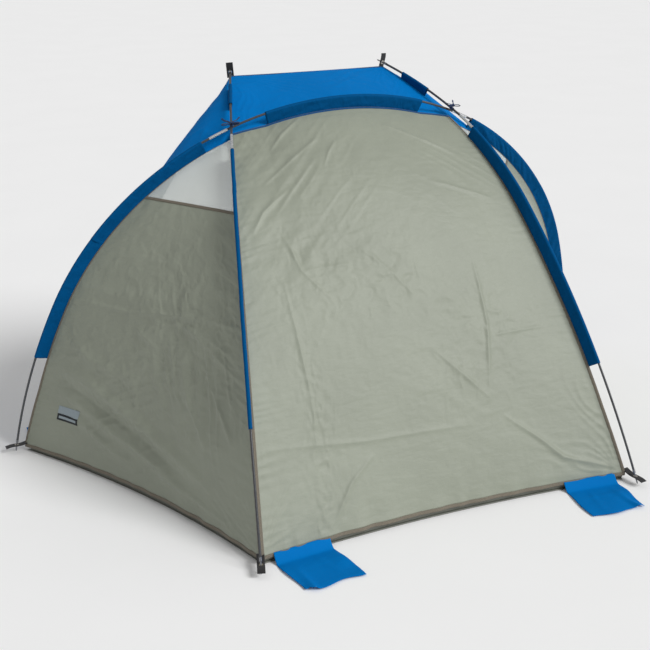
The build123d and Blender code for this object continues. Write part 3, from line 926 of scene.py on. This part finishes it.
def hem_tape(name, sewn_to, strip, count, outward, node):
    """A hem's binding, as wavy as the hem."""
    tape(name, sewn_to, strip, (count, 4), outward, "binding_tape", [node], lift=0, thick=0.0016,
         relief=lambda g: hem_wave(g, 0 * g.y))


def make_tapes():
    strip = 0.0085
    tape("rear_seam_right", "rear_cloth", trimmed(REAR, 0, strip, 0, 1), (3, 160), 1, "binding_tape")
    tape("rear_seam_left", "rear_cloth", trimmed(REAR, 1 - strip, 1, 0, 1), (3, 160), 1, "binding_tape")
    tape("crown_seam_tape", "rear_cloth", trimmed(REAR, 0, 1, 0.994, 1), (120, 3), 1, "blue_tape")
    hem_tape("rear_hem_tape", "rear_cloth", hem_strip(rear_hem), 160, -1, "rear_hem_binding")
    for side, turned, sign in SIDES:
        seam, cloth = turned(side_surface), f"side_cloth_{side}"
        tape(f"wall_seam_{side}", cloth, trimmed(seam, 0, 0.009, 0, 1), (3, 160), -sign, "binding_tape")
        tape(f"hoop_seam_{side}", cloth, trimmed(seam, 0.991, 1, 0, 1), (3, 160), -sign, "binding_tape")
        hem = turned(hem_strip(side_hem))
        hem_tape(f"side_hem_tape_{side}", cloth, hem, 140, sign, f"side_hem_binding_{side}")


# ---- sleeves ----


def teardrop(u, reach):
    """A sleeve's section: seam, flat layer, round the pole, flat layer, seam."""
    tangent = np.arccos(SLEEVE_R / reach)
    flat = np.sqrt(reach ** 2 - SLEEVE_R ** 2)
    arc = 2 * (pi - tangent) * SLEEVE_R
    run = u * (2 * flat + arc)
    touch_x, touch_y = SLEEVE_R * np.cos(tangent), SLEEVE_R * np.sin(tangent)
    first, last = run / flat, (run - flat - arc) / flat
    turn = tangent + (run - flat) / SLEEVE_R
    x = np.where(run < flat, reach + (touch_x - reach) * first,
                 np.where(run < flat + arc, SLEEVE_R * np.cos(turn), touch_x + (reach - touch_x) * last))
    y = np.where(run < flat, touch_y * first,
                 np.where(run < flat + arc, SLEEVE_R * np.sin(turn), -touch_y * (1 - last)))
    return x, y


def sleeve(pole, s0, s1, reach, seed, drag=0.0):
    """A sleeve from s0 to s1 along a pole. Its flat part sways and puckers between the seam and the pole."""
    def surface(u, v):
        s = s0 + (s1 - s0) * v
        p, _, n = pole.frame(s)
        x, y = teardrop(u, reach(s))
        free = np.clip((x + SLEEVE_R) / 0.02, 0, 1) * np.clip((reach(s) - x) / 0.012, 0, 1)
        oblique = s + 0.9 * x
        sway = 0.0024 * noise(oblique, 0 * s, 0.050, seed) + 0.0014 * noise(oblique, x, 0.018, seed + 1)
        drawn = 1 - 2.2 * np.abs(noise(s + 1.6 * x, x, 0.032, seed + 2))
        sway = sway + drag * drawn * (0.35 + np.exp(-(s1 - s) / 0.20))
        return p + n * x[..., None] + pole.normal * (y + sway * free)[..., None]
    return surface


def steady(width):
    return lambda s: width + 0 * s


def roof_reach(s):
    """The roof sleeve's seam runs in toward the pole with the roof's edge."""
    v = (s - CROSS_SIDE) / (SIDE.length - AWNING_END - CROSS_SIDE)
    return SLEEVE_WIDTH + (TIP_DROP - SLEEVE_WIDTH) * v


def lower_reach(s):
    """The lowest end of the hoop sleeve follows the wall's edge."""
    return SLEEVE_WIDTH + 0.002 * np.clip((HOOP_SLEEVE_LAP - s) / 0.01, 0, 1)


# Sleeves take the darker copy of the blue cloth, whose extra darkness is painted shade.
def sleeve_cloth(name, grids, node):
    sheet(name, grids, "sleeve_cloth", [node])


def make_sleeves():
    crown = HOOP.length / 2
    ends = (crown - HOOP_SLEEVE_TOP_HALF, crown + HOOP_SLEEVE_TOP_HALF)
    top = sleeve(HOOP, *ends, steady(SLEEVE_WIDTH), 201)
    sleeve_cloth("crown_cloth", [Grid(top, 40, 110)], "crown_sleeve")
    low, high = HOOP_SLEEVE_LOW
    for index, (side, turned, _) in enumerate(SIDES):
        seed = 211 + 20 * index
        first = Grid(turned(sleeve(HOOP, low, HOOP_SLEEVE_LAP + LAP, lower_reach, seed, 0.0008)), 40, 120)
        upper = sleeve(HOOP, HOOP_SLEEVE_LAP, high, steady(SLEEVE_WIDTH), seed + 3, 0.0030)
        second = Grid(turned(upper), 40, 130)
        first.lift(-0.0006)
        sleeve_cloth(f"hoop_sleeve_cloth_{side}", [first, second], f"hoop_sleeve_{side}")
        side_sleeve = turned(sleeve(SIDE, *SIDE_SLEEVE, steady(SLEEVE_WIDTH), seed + 6))
        sleeve_cloth(f"side_sleeve_cloth_{side}", [Grid(side_sleeve, 40, 170)], f"side_sleeve_{side}")
        roof_sleeve = turned(sleeve(SIDE, *ROOF_SLEEVE, roof_reach, seed + 9))
        sleeve_cloth(f"roof_sleeve_cloth_{side}", [Grid(roof_sleeve, 40, 30)], f"roof_sleeve_{side}")


# ---- floor ----


def inset_side(u):
    edge = side_hem(u) - side_across() * FLOOR_INSET
    return level(edge, FLOOR_Z)


def inset_rear(u):
    edge = rear_hem(u)
    return xyz(edge[..., 0] * 0.988, edge[..., 1] - FLOOR_INSET, FLOOR_Z)


def ground_front(u):
    corner = inset_side(1.0)
    return xyz(corner[0] * (1 - 2 * np.asarray(u, float)), corner[1] + 0.010, FLOOR_Z)


def mud_wall(hem, inward):
    """The groundsheet's turned-up edge, from the ground to just inside the hem."""
    def point(u, v):
        top = hem(u) + inward * MUD_WALL_GAP
        low = top + inward * MUD_WALL_LEAN
        return mix(level(low, MUD_WALL_Z), top - np.array((0, 0, MUD_WALL_GAP)), v)
    return point


def make_floor():
    ground = coons(ground_front, inset_rear, lambda v: inset_side(1 - v), lambda v: inset_side(1 - v) * FLIP)
    grid = Grid(ground, 200, 110, 1)
    waves = 0.0016 * (1 + noise(grid.x, grid.y, 0.16, 301))
    waves += 0.0012 * (1 + crumple(grid.x, grid.y, 0.12, 302))
    grid.points[..., 2] += np.clip(waves, 0, 0.006) * grid.edge_mask(0.05)
    sheet("floor_sheet", [grid], "floor_cloth", ["groundsheet"])
    strip = trimmed(mud_wall(rear_hem, np.array((0, -1.0, 0))), 0.003, 0.997, 0, 1)
    wave = lambda g: 0.0006 * noise(g.x, g.y, 0.05, 305)
    sheet("rear_mud_strip", [panel(strip, (140, 5), 1, wave)], "floor_cloth",
          ["rear_mud_wall"])
    for side, turned, _ in SIDES:
        strip = turned(trimmed(mud_wall(side_hem, -side_across()), 0.004, 0.985, 0, 1))
        sheet(f"side_mud_strip_{side}", [panel(strip, (120, 5), 1, wave)], "floor_cloth",
              [f"side_mud_wall_{side}"])


# ---- sand flaps ----


def flap_frame(rear):
    """A right-hand flap's hem middle on the ground, and its outward and sideways directions."""
    if not rear:
        edge = side_hem(1.0)[1] + FLAP_GAP
        return np.array((FRONT_FLAP_X, edge, 0)), np.array((0, -1.0, 0)), np.array((1.0, 0, 0))
    width = 2 * side_seam(0.0)[0]
    a = rear_hem(0.5 - (REAR_FLAP_X + FLAP_WIDTH / 2) / width)
    b = rear_hem(0.5 - (REAR_FLAP_X - FLAP_WIDTH / 2) / width)
    outward = unit(np.array((b[1] - a[1], a[0] - b[0], 0)))
    middle = np.array((REAR_FLAP_X, (a[1] + b[1]) / 2, 0)) + outward * FLAP_GAP
    return middle, outward, np.array((outward[1], -outward[0], 0))


def flap_surface(rear, seed):
    """A flap from its hem down to the ground and out, with a rippled free edge and a turned corner."""
    middle, outward, sideways = flap_frame(rear)

    def point(u, v):
        start = -FLAP_GAP - 0.001
        reach = FLAP_REACH - 0.004 + 0.006 * np.sin(2 * pi * (1.3 * u + seed)) - 0.010 * (u > 0.93)
        x = start + (reach - start) * v
        fall = np.clip((x - start) / 0.030, 0, 1)
        z = 0.0016 + 0.029 * (1 - fall) ** 1.6
        lying = np.clip((x - 0.03) / 0.05, 0, 1)
        z = z + lying * 0.0035 * (1 + noise(u * FLAP_WIDTH, x, 0.055, int(seed * 10) + 401))
        z = z + lying * 0.011 * np.exp(-((u - 0.74 - 0.15 * v) * FLAP_WIDTH / 0.013) ** 2) * v ** 2
        z = z + lying * 0.004 * np.exp(-((u - 0.40 + 0.12 * v) * FLAP_WIDTH / 0.012) ** 2) * (1 - v)
        across = (u - 0.5) * (FLAP_WIDTH - 0.002) * (1 + 0.03 * np.sin(pi * v)) + 0.004 * np.sin(5 * v + seed)
        return middle + outward * x[..., None] + sideways * across[..., None] + xyz(0, 0, z)
    return point


def make_flaps():
    for rear, place_name in ((True, "rear"), (False, "front")):
        for index, (side, turned, _) in enumerate(SIDES):
            surface = turned(flap_surface(rear, 0.3 + 0.45 * index + (0 if rear else 0.2)))
            body = f"{place_name}_flap_{side}"
            sheet(f"{body}_cloth", [Grid(surface, 46, 50)], "blue_cloth", [body], body=body)


# ---- webbing, ties and patches ----


def eased(points, count):
    """A smooth run through a few points, by cubic Hermite pieces."""
    points = np.array(points, float)
    tangents = np.gradient(points, axis=0)
    t = np.linspace(0, len(points) - 1, count)
    i = np.minimum(t.astype(int), len(points) - 2)
    f = (t - i)[:, None]
    a, b, ta, tb = points[i], points[i + 1], tangents[i], tangents[i + 1]
    places = a * (2 * f ** 3 - 3 * f ** 2 + 1) + b * (3 * f ** 2 - 2 * f ** 3)
    return places + ta * (f ** 3 - 2 * f ** 2 + f) + tb * (f ** 3 - f ** 2)


def ribbon(path, across, width, columns=6):
    """A flat strip that follows a path; across is its width direction."""
    path = np.asarray(path)
    shares = np.linspace(-0.5, 0.5, columns + 1)
    return path[:, None, :] + np.asarray(across)[..., None, :] * (shares * width)[None, :, None]


class Strip(Grid):
    """A grid made straight from points, rows along the strip."""

    def __init__(self, points):
        self.points = points
        self.x = self.measured(1)
        self.width = self.x[:, -1].max()
        self.y = self.measured(0)
        self.length = self.y[-1].max()
        self.area = self.measured_area()


def pierced(piece, centre, axis, radius):
    """Removes the faces inside an eyelet's hole."""
    mesh = bmesh.new()
    mesh.from_mesh(piece.data)
    inside = []
    for face in mesh.faces:
        offset = np.array(face.calc_center_median()) - centre
        offset = offset - axis * offset.dot(axis)
        if np.linalg.norm(offset) < radius:
            inside.append(face)
    bmesh.ops.delete(mesh, geom=inside, context="FACES")
    mesh.to_mesh(piece.data)
    mesh.free()


def tab_strips(side):
    """The webbing tabs of one side: (name, node, eyelet centre, its axis, strip points)."""
    path = eased([(-0.052, 0.0095), (-0.034, 0.004), (-0.013, 0.0), (0.013, 0.0), (0.027, -0.0012),
                  (0.040, -0.004)], 48)
    up = np.array((0, 0, 1.0))
    tabs = []
    headings = {"right": {"rear_tab": (0.34, 0.94, 0), "front_tab": (1.0, 0, 0)},
                "left": {"rear_tab": (0.13, 0.99, 0), "front_tab": (1.0, 0.05, 0)}}
    for name, pole in (("rear_tab", SIDE), ("front_tab", HOOP)):
        outward = unit(np.array(headings[side][name]))
        centre = pole.frame(EYELET_UP)[0]
        line = centre + outward * path[:, :1] + up * path[:, 1:]
        strip = ribbon(line, np.cross(up, outward)[None], TAB_WIDTH, 14)
        tabs.append((name, "corner_tabs", centre, up, strip))
    centre, along, inward = SIDE.frame(SIDE.length - EYELET_UP)
    tip = eased([(-0.022, -0.002), (-0.010, 0.0), (0.010, 0.0), (0.022, 0.001), (0.034, 0.004)], 40)
    line = centre - inward * tip[:, :1] + along * tip[:, 1:]
    strip = ribbon(line, np.cross(along, inward)[None], TAB_WIDTH, 14)
    tabs.append(("awning_tab", "awning_tabs", centre, along, strip))
    return tabs


def make_tabs():
    hole = 0.0058
    for side, flip in MIRRORS:
        for name, node, centre, axis, points in tab_strips(side):
            piece = sheet(f"{name}_{side}", [Strip(points * flip)], "webbing", [node],
                          thick=WEBBING)
            pierced(piece, centre * flip, axis * flip, hole)


def bow_strip(path, angle, reach, drop, lean, count):
    """The middle line and the width direction of a ribbon that leaves the knot at an angle."""
    x, y = cos(radians(angle)), sin(radians(angle))
    out = eased(path, count)
    line = np.stack([out[:, 0] * x, out[:, 0] * y - drop * (out[:, 0] / reach) ** 2, out[:, 1]], axis=-1)
    return line, np.array((-y, x, lean))


def bow_loop(angle, reach, height, drop):
    """A ribbon loop in the bow's own plane: out from the knot, over and back."""
    outward = [(0.002, 0.001), (0.35 * reach, 0.3 * height), (0.8 * reach, 0.5 * height)]
    back = [(0.78 * reach, 1.5 * height), (0.35 * reach, 1.3 * height), (0.002, 0.9 * height)]
    return bow_strip([*outward, (reach, 0.95 * height), *back], angle, reach, drop, 0.25, 40)


def bow_tail(angle, reach, drop):
    path = [(0.002, 0.003), (0.3 * reach, 0.006), (0.7 * reach, 0.002), (reach, 0.004)]
    return bow_strip(path, angle, reach, drop, -0.3, 30)


def make_ties():
    """Tape bows where the side poles cross the hoop."""
    p, t, n = SIDE.frame(BOW_AT)
    origin = p - n * (ROD_R + 0.0045)
    across, outward = np.cross(t, n), -n
    up = np.cross(outward, across)
    wrap_r = ROD_R + 0.0012
    to_world = lambda q: q[..., :1] * across + q[..., 1:2] * up + q[..., 2:] * outward
    angles = np.linspace(0, 2 * pi, 30)
    strips = []
    for line, width_way in (bow_loop(20, 0.034, 0.006, 0.004), bow_loop(162, 0.031, 0.006, 0.006),
                            bow_tail(-38, 0.040, 0.006), bow_tail(-143, 0.037, 0.010)):
        strips.append(origin + ribbon(to_world(line), to_world(unit(width_way))[None], BOW_WIDTH, 4))
    round_pole = across * wrap_r * np.sin(angles[:, None]) - n * wrap_r * np.cos(angles[:, None])
    for shift in (-0.004, 0.004):
        strips.append(ribbon(p + t * shift + round_pole, t[None], BOW_WIDTH, 4))
    knot = np.stack([0.0045 * np.sin(angles), 0 * angles, 0.0045 - 0.0042 * np.cos(angles)], axis=-1)
    strips.append(origin + ribbon(to_world(knot), up[None], 0.0085, 4))
    for side, flip in MIRRORS:
        piece = grid_object(f"bow_{side}", [Strip(points * flip) for points in strips], "tie_tape", BOW_THICK)
        place(piece, [f"pole_tie_{side}"])


def on_wall(grid, u0, u1, v0, v1, size, lift):
    """A small panel that lies on a finished wall, between shares of its width and height."""
    rows, columns = grid.x.shape
    v, u = np.mgrid[v0:v1:(size[1] + 1) * 1j, u0:u1:(size[0] + 1) * 1j]
    i, j = v / WINDOW_SILL * (rows - 1), u * (columns - 1)
    i0, j0 = i.astype(int), j.astype(int)
    fi, fj = i - i0, j - j0
    raised = grid.points + grid.normal * lift
    lower, upper = (mix(raised[i, j0], raised[i, j0 + 1], fj) for i in (i0, i0 + 1))
    return Strip(mix(lower, upper, fi))


def make_patch():
    """A plain sewn label on the right side wall: a light block over a dark strip, with no lettering."""
    u0, u1, v0, v1 = PATCH
    split = v0 + (v1 - v0) * 0.46
    inset = 0.12 * (split - v0)
    wall = WALL_GRIDS["right"]
    block = on_wall(wall, u0, u1, split, v1, (30, 12), 0.0010)
    strip = on_wall(wall, u0, u1, v0, split, (30, 12), 0.0012)
    band = on_wall(wall, u0 + 0.008, u1 - 0.008, v0 + 2.6 * inset, split - 2.6 * inset, (30, 6), 0.0020)
    sheet("label_block", [block], "patch", ["wall_patch"])
    sheet("label_strip", [strip], "patch_strip")
    piece = place(grid_object("label_band", [band], "patch", CLOTH))
    TRIMS["label_strip"] = [piece]


# ---- stitching ----


THREAD_FACES = np.array([(0, 1, 2), (0, 2, 3), (0, 3, 4), (0, 4, 1), (5, 2, 1), (5, 3, 2), (5, 4, 3), (5, 1, 4)])


def stitches(name, sewn_to, lines, finish, pitch=0.0045, long=0.0030, fat=0.00045):
    """Rows of short threads; each line is (points, normals)."""
    points, faces = [], []
    for line, normals in lines:
        steps = np.linalg.norm(np.diff(line, axis=0), axis=1)
        along = np.concatenate([[0], np.cumsum(steps)])
        centres = np.arange(pitch, along[-1] - pitch, pitch)
        at = lambda values, s: np.stack([np.interp(s, along, values[:, k]) for k in range(3)], axis=-1)
        middle, normal = at(line, centres), unit(at(normals, centres))
        heading = unit(at(line, centres + 0.001) - at(line, centres - 0.001))
        side = np.cross(normal, heading)
        ring = [heading * long / 2, side * fat, normal * fat * 1.3, -side * fat, -normal * fat,
                -heading * long / 2]
        corners = np.stack([middle + normal * fat + offset for offset in ring], axis=1)
        base = (np.arange(len(centres)) * 6)[:, None] + sum(len(p) for p in points)
        faces.append((base[:, :, None] + THREAD_FACES[None]).reshape(-1, 3))
        points.append(corners.reshape(-1, 3))
    points, faces = np.concatenate(points), np.concatenate(faces)
    piece = place(mesh_object(name, points, faces, points[:, :2], finish))
    TRIMS.setdefault(sewn_to, []).append(piece)


def seam_line(surface, u, v, outward, lift, count=260):
    """A line over a surface at a fixed u or v, with the surface's normals."""
    t = np.linspace(0.004, 0.996, count)
    fixed_u = np.full(count, u) if u is not None else t
    fixed_v = np.full(count, v) if v is not None else t
    e = 1e-3
    du = surface(np.minimum(fixed_u + e, 1), fixed_v) - surface(np.maximum(fixed_u - e, 0), fixed_v)
    dv = surface(fixed_u, np.minimum(fixed_v + e, 1)) - surface(fixed_u, np.maximum(fixed_v - e, 0))
    normal = unit(np.cross(du, dv)) * outward
    return surface(fixed_u, fixed_v) + normal * lift, normal


def make_stitching():
    rear = [seam_line(REAR, u, None, 1, 0.0014) for u in (0.0062, 1 - 0.0062)]
    stitches("rear_stitches", "rear_cloth", rear, "thread")
    stitches("crown_stitches", "rear_cloth", [seam_line(REAR, None, 0.9965, 1, 0.0014)], "blue_thread")
    stitches("awning_stitches", "roof_cloth", [seam_line(ROOF, None, 0.982, 1, 0.0006)], "blue_thread")
    for side, turned, sign in SIDES:
        wall = turned(side_surface)
        lines = [seam_line(wall, u, None, -sign, 0.0014) for u in (0.0066, 1 - 0.0066)]
        lines += [seam_line(wall, None, WINDOW_SILL + shift, -sign, 0.0020) for shift in (-0.0028, 0.0028)]
        stitches(f"wall_stitches_{side}", f"side_cloth_{side}", lines, "thread")
        wing = turned(wing_surface)
        wing_line = seam_line(wing, None, 0.993, -sign, 0.0006)
        stitches(f"wing_stitches_{side}", f"wing_cloth_{side}", [wing_line], "blue_thread")


make_camera()
make_stage()
finish_cad_nodes()
make_sleeves()
make_walls()
make_roof()
make_tapes()
make_floor()
make_flaps()
make_tabs()
make_ties()
make_patch()
make_stitching()

sizes = {"cad": [list(corner) for corner in cad_box], "visual": [list(corner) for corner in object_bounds()]}
